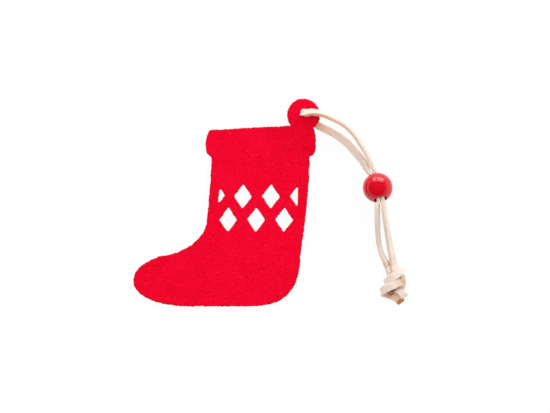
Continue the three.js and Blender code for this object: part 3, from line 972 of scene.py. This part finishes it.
def half_cut_out():
    """The punch for the halved cut-out at the leg's left edge, at its full size."""
    mesh = bpy.data.meshes.new("punch")
    low = [corner - Vector((0, 0, FELT_THICKNESS)) for corner in HALF_CUT_OUT]
    high = [corner + Vector((0, 0, 2 * FELT_THICKNESS)) for corner in HALF_CUT_OUT]
    sides = [(0, 1, 4, 3), (1, 2, 5, 4), (2, 0, 3, 5)]
    mesh.from_pydata(low + high, [], [(2, 1, 0), (3, 4, 5), *sides])
    punch = bpy.data.objects.new("punch", mesh)
    bpy.context.scene.collection.objects.link(punch)
    return punch


def bake_modifiers(piece):
    """Turns the piece's evaluated shape into its plain mesh, and takes the modifiers off."""
    graph = bpy.context.evaluated_depsgraph_get()
    graph.update()
    mesh = bpy.data.meshes.new_from_object(piece.evaluated_get(graph))
    piece.modifiers.clear()
    piece.data = mesh
    return mesh


def drawn_to_lace(place):
    """Where a point of the felt goes once the punched hole has closed round the lace in it."""
    out = Vector((place.x - HOLE.x, place.y - HOLE.y, 0))
    if out.length > HOLE_RADIUS + HOLE_PULL:
        return place
    way = out.normalized()
    along = abs(way.dot(HOLE_WAY)) / (LACE_WIDTH / 2 * HOLE_SQUEEZE_SHARE)
    across = abs(way.cross(HOLE_WAY).z) / (LACE_THICKNESS / 2 * HOLE_SQUEEZE_SHARE)
    tight = 1 / (along**HOLE_SQUARENESS + across**HOLE_SQUARENESS) ** (1 / HOLE_SQUARENESS) + HOLE_SLACK
    share = 1 - smooth(out.length, HOLE_RADIUS, HOLE_RADIUS + HOLE_PULL)
    return place - way * (HOLE_RADIUS - tight) * share


def in_cut_outs(place):
    """Whether a place is in the stretch of the leg that holds the cut-outs."""
    low, high = CUT_OUTS_LOW, CUT_OUTS_HIGH
    return low.x < place.x < high.x and low.y < place.y < high.y


def unsettle(mesh, settings):
    """Makes faces and cut edges uneven, as pressed wool is, with nothing below the surface it lies on."""
    places = np.empty(len(mesh.vertices) * 3, np.float32)
    normals = np.empty_like(places)
    mesh.vertices.foreach_get("co", places)
    mesh.vertex_normals.foreach_get("vector", normals)
    moved, cuts = [], []
    for place, normal in zip(places.reshape(-1, 3).tolist(), normals.reshape(-1, 3).tolist()):
        place, normal = drawn_to_lace(Vector(place)), Vector(normal)
        slant = 1 - abs(normal.z)
        edge = smooth(slant, *EDGE_SLANTS)
        uneven = waves(place, FELT_LUMPS) * LUMP_SHARE + waves(place, FELT_NICKS) * mix(*NICK_SHARES, edge)
        reach = mix(settings.face_wobble, settings.edge_wobble, edge)
        spread = settings.cut_spread * edge if in_cut_outs(place) else 0
        place += normal * (reach * uneven - spread)
        moved.append((place.x, place.y, max(place.z, 0)))
        # How steep the surface is, for the painted shade on the cut walls
        cuts.append(smooth(slant, *EDGE_SHADE_SLANTS))
    mesh.vertices.foreach_set("co", np.ravel(moved))
    add_shares(mesh, "cut", cuts)
    mesh.update()


class ORNAMENT_OT_bead(bpy.types.Operator):
    """Make the painted wooden bead"""

    bl_idname = "ornament.bead"
    bl_label = "Bead"

    def execute(self, context):
        settings = context.scene.ornament_bead
        piece = new_piece("painted_bead", bead_mesh(settings), paint_finish(settings))
        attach(piece, "bead")
        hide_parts("bead")
        return {"FINISHED"}


def bead_profile():
    """The bead's section: up the wall of the bore, over the rim, down the ball and over the other rim,
    as (out, up, bare share) points."""
    radius = BEAD_DIAMETER / 2
    rim_out = BORE_RADIUS + BEAD_EDGE_RADIUS
    rim_height = math.sqrt((radius - BEAD_EDGE_RADIUS) ** 2 - rim_out**2)
    rim_turn = math.atan2(rim_height, rim_out)
    wall = [(BORE_RADIUS, rim_height * k / RIM_STEPS, 1.0) for k in range(1 - RIM_STEPS, RIM_STEPS)]
    rim, ball = [], []
    for k in range(RIM_STEPS):
        angle = mix(math.pi, rim_turn, k / RIM_STEPS)
        out = rim_out + BEAD_EDGE_RADIUS * math.cos(angle)
        up = rim_height + BEAD_EDGE_RADIUS * math.sin(angle)
        rim.append((out, up, 1 - k / RIM_STEPS))
    for k in range(BALL_STEPS + 1):
        angle = mix(rim_turn, -rim_turn, k / BALL_STEPS)
        ball.append((radius * math.cos(angle), radius * math.sin(angle), 0.0))
    other_rim = [(out, -up, share) for out, up, share in reversed(rim)]
    return wall + rim + ball + other_rim


def bead_mesh(settings):
    """The bead, turned about the bore's axis."""
    profile = bead_profile()
    turn = Vector((0, 0, 1)).rotation_difference(-BORE_AXIS)
    places, bare = [], []
    for step in range(settings.segments):
        angle = 2 * math.pi * step / settings.segments
        for out, up, share in profile:
            place = Vector((out * math.cos(angle), out * math.sin(angle), up))
            places.append(BEAD_CENTRE + turn @ (place * (1 + waves(place, BEAD_WAVES))))
            bare.append(share)
    count = len(profile)
    faces = []
    for step in range(settings.segments):
        here, there = step * count, ((step + 1) % settings.segments) * count
        for k in range(count):
            following = (k + 1) % count
            faces.append((here + k, here + following, there + following, there + k))
    mesh = bpy.data.meshes.new("painted_bead")
    mesh.from_pydata(places, [], faces)
    add_shares(mesh, "bare", bare)
    mesh.shade_smooth()
    return mesh


class ORNAMENT_OT_fibres(bpy.types.Operator):
    """Scatter loose wool fibres over the felt"""

    bl_idname = "ornament.fibres"
    bl_label = "Felt fibres"

    def execute(self, context):
        settings = context.scene.ornament_felt
        source = bpy.data.objects["felt_stocking"]
        fuzz = bpy.data.objects.new("felt_fibres", source.data.copy())
        context.scene.collection.objects.link(fuzz)
        # The fibres' finish, painted paler as a painted highlight
        finish = felt_finish(settings, "felt_fibre", FIBRE_HIGHLIGHT_SHARE)
        modifier = fuzz.modifiers.new("fibres", "NODES")
        modifier.node_group = fibre_tree()
        values = {
            "Density": settings.fibre_density,
            "Length": settings.fibre_length,
            "Radius": settings.fibre_radius,
            "Seed": settings.seed,
            "Finish": finish,
        }
        for item in modifier.node_group.interface.items_tree:
            if item.name in values:
                modifier[item.identifier] = values[item.name]
        mesh = bake_modifiers(fuzz)
        keep_above_floor(mesh)
        mesh.materials.clear()
        mesh.materials.append(finish)
        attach(fuzz, "stocking")
        return {"FINISHED"}


def fibre_tree():
    """Geometry nodes that put bent fibres on every face that doesn't look down."""
    group = bpy.data.node_groups.new("wool_fibres", "GeometryNodeTree")
    sockets = (
        ("Geometry", "NodeSocketGeometry"),
        ("Density", "NodeSocketFloat"),
        ("Length", "NodeSocketFloat"),
        ("Radius", "NodeSocketFloat"),
        ("Seed", "NodeSocketInt"),
        ("Finish", "NodeSocketMaterial"),
    )
    for name, kind in sockets:
        group.interface.new_socket(name, in_out="INPUT", socket_type=kind)
    group.interface.new_socket("Geometry", in_out="OUTPUT", socket_type="NodeSocketGeometry")
    tree = Tree(group)
    entry = group.nodes.new("NodeGroupInput")
    given = {name: Wire(tree, entry.outputs[name]) for name, _ in sockets}

    def scaled(by, vector):
        return tree.add("ShaderNodeVectorMath", "Vector", {"operation": "SCALE"}, {0: vector, "Scale": by})

    upward = tree.add("ShaderNodeSeparateXYZ", "Z", {}, {0: tree.add("GeometryNodeInputNormal", 0)})
    facing = tree.add("FunctionNodeCompare", 0, {"operation": "GREATER_THAN"}, {0: upward, 1: LOOKS_DOWN})
    scatter = group.nodes.new("GeometryNodeDistributePointsOnFaces")
    fed = {
        "Mesh": given["Geometry"],
        "Selection": facing,
        "Density": given["Density"],
        "Seed": given["Seed"],
    }
    for name, wire in fed.items():
        group.links.new(wire.socket, scatter.inputs[name])
    bend = {"Resolution": FIBRE_STEPS}
    for name, shares in zip(("Start", "Middle", "End"), FIBRE_SHARES):
        bend[name] = scaled(given["Length"], shares)
    curve = tree.add("GeometryNodeCurveQuadraticBezier", 0, {}, bend)
    across = {"Resolution": FIBRE_SIDES, "Radius": given["Radius"]}
    ring = tree.add("GeometryNodeCurvePrimitiveCircle", 0, {}, across)
    swept = {"Curve": curve, "Profile Curve": ring, "Fill Caps": True}
    fibre = tree.add("GeometryNodeCurveToMesh", 0, {}, swept)
    lean = tree.add(
        "FunctionNodeRandomValue", 0, {"data_type": "FLOAT_VECTOR"},
        {0: FIBRE_LEANS[0], 1: FIBRE_LEANS[1], "Seed": given["Seed"]},
    )
    turned = tree.add("FunctionNodeEulerToRotation", 0, {}, {0: lean})
    aligned = Wire(tree, scatter.outputs["Rotation"])
    rotation = tree.add(
        "FunctionNodeRotateRotation", 0, {"rotation_space": "LOCAL"},
        {"Rotation": aligned, "Rotate By": turned},
    )
    spread = {2: FIBRE_SIZE_SHARES[0], 3: FIBRE_SIZE_SHARES[1], "Seed": given["Seed"]}
    size = tree.add("FunctionNodeRandomValue", 1, {"data_type": "FLOAT"}, spread)
    points = Wire(tree, scatter.outputs["Points"])
    instances = tree.add(
        "GeometryNodeInstanceOnPoints", 0, {},
        {"Points": points, "Instance": fibre, "Rotation": rotation, "Scale": size},
    )
    real = tree.add("GeometryNodeRealizeInstances", 0, {}, {"Geometry": instances})
    painted = tree.add("GeometryNodeSetMaterial", 0, {}, {"Geometry": real, "Material": given["Finish"]})
    leaving = group.nodes.new("NodeGroupOutput")
    group.links.new(painted.socket, leaving.inputs[0])
    return group


class ORNAMENT_OT_studio(bpy.types.Operator):
    """Make the plain white floor, the soft lamps and the room light"""

    bl_idname = "ornament.studio"
    bl_label = "Studio"

    def execute(self, context):
        studio = context.scene.ornament_studio
        half = studio.floor_size / 2
        mesh = bpy.data.meshes.new("floor")
        corners = [(x * half, y * half, -FLOOR_DROP) for x, y in ((-1, -1), (1, -1), (1, 1), (-1, 1))]
        mesh.from_pydata(corners, [], [(0, 1, 2, 3)])
        new_piece("floor", mesh, floor_finish(studio.floor_glow))
        add_softboxes(studio)
        room_light(studio)
        context.scene.view_settings.view_transform = "Standard"
        return {"FINISHED"}


def add_softboxes(studio):
    """Two softboxes side by side behind the ornament, with a narrow gap between them. Each is one lamp
    for the gloss and a weaker one for the light that it gives."""
    place = Vector(studio.key_place)
    facing = (-place).to_track_quat("-Z", "Y").to_euler()
    for side, width in zip((-1, 1), studio.key_widths):
        for power, unlit in ((studio.gloss_power, "diffuse"), (studio.key_power, "glossy")):
            data = bpy.data.lights.new("softbox", "AREA")
            data.shape = "RECTANGLE"
            data.size, data.size_y = width, studio.key_height
            data.energy = power * width / sum(studio.key_widths)
            lamp = bpy.data.objects.new("softbox", data)
            bpy.context.scene.collection.objects.link(lamp)
            lamp.location = place + Vector((side * (studio.key_gap + width) / 2, 0, 0))
            lamp.rotation_euler = facing
            setattr(lamp, "visible_" + unlit, False)


def seen_directly(tree):
    """1 on camera, glossy and transmission rays, and 0 on the rest."""
    kinds = ("Is Camera Ray", "Is Glossy Ray", "Is Transmission Ray")
    path = tree.tree.nodes.new("ShaderNodeLightPath")
    rays = [Wire(tree, path.outputs[kind]) for kind in kinds]
    return tree.between(rays[0] + rays[1] + rays[2], 0, 1)


def floor_finish(glow_share):
    """A white floor that shows nearly white to the eye and still keeps the ornament's shadow."""
    material, tree = new_finish("floor")
    paper = tree.add("ShaderNodeBsdfDiffuse", 0, {}, {"Color": PAPER})
    glow = tree.add("ShaderNodeEmission", 0, {}, {"Color": WHITE, "Strength": FLOOR_GLOW_LEVEL})
    surface = tree.add(
        "ShaderNodeMixShader", 0, {}, {0: seen_directly(tree) * glow_share, 1: paper, 2: glow}
    )
    tree.add("ShaderNodeOutputMaterial", 0, {}, {"Surface": surface})
    return material


def room_light(studio):
    """White round the horizon. Overhead the gloss sees it dim, where the photographer stands, but the
    light that it gives is stronger there, as under a pale ceiling."""
    world = bpy.data.worlds.new("studio")
    world.use_nodes = True
    world.node_tree.nodes.clear()
    tree = Tree(world.node_tree)
    way = tree.add("ShaderNodeTexCoord", "Generated")
    height = tree.add("ShaderNodeSeparateXYZ", "Z", {}, {0: way})
    right = tree.add("ShaderNodeSeparateXYZ", "X", {}, {0: way})
    back = tree.add("ShaderNodeSeparateXYZ", "Y", {}, {0: way})
    seen = 1.0 - tree.between(height - right * studio.side_light, -0.05, 0.6) * (1.0 - studio.zenith_level)
    above = tree.between(height, 0.2, 0.9) * (studio.room_level - studio.ceiling_level)
    near = tree.between(back, 0.2, -0.8) * studio.front_shade
    far = tree.between(back, 0.1, 0.9) * studio.back_light
    given = studio.room_level - above - near + far + right * studio.side_light
    strength = given + (seen - given) * seen_directly(tree)
    light = tree.add("ShaderNodeBackground", 0, {}, {"Color": WHITE, "Strength": strength})
    tree.add("ShaderNodeOutputWorld", 0, {}, {"Surface": light})
    bpy.context.scene.world = world


class ORNAMENT_PT_panel(bpy.types.Panel):
    """Lists the ornament's pieces and the stage"""

    bl_idname = "ORNAMENT_PT_panel"
    bl_label = "Ornament"
    bl_space_type = "VIEW_3D"
    bl_region_type = "UI"
    bl_category = "Ornament"

    def draw(self, context):
        for operator in OPERATORS:
            self.layout.operator(operator.bl_idname)
        for name in GROUPS:
            settings = getattr(context.scene, name)
            box = self.layout.box()
            for key in settings.bl_rna.properties.keys():
                if key not in {"rna_type", "name"}:
                    box.prop(settings, key)


OPERATORS = (
    ORNAMENT_OT_camera,
    ORNAMENT_OT_bead,
    ORNAMENT_OT_lace,
    ORNAMENT_OT_stocking,
    ORNAMENT_OT_fibres,
    ORNAMENT_OT_studio,
)


def register():
    for name, group in GROUPS.items():
        bpy.utils.register_class(group)
        setattr(bpy.types.Scene, name, PointerProperty(type=group))
    for operator in OPERATORS:
        bpy.utils.register_class(operator)
    bpy.utils.register_class(ORNAMENT_PT_panel)


def unregister():
    bpy.utils.unregister_class(ORNAMENT_PT_panel)
    for operator in reversed(OPERATORS):
        bpy.utils.unregister_class(operator)
    for name, group in reversed(GROUPS.items()):
        delattr(bpy.types.Scene, name)
        bpy.utils.unregister_class(group)


def main():
    register()
    for operator in OPERATORS:
        group, action = operator.bl_idname.split(".")
        getattr(getattr(bpy.ops, group), action)()


if __name__ == "__main__":
    main()
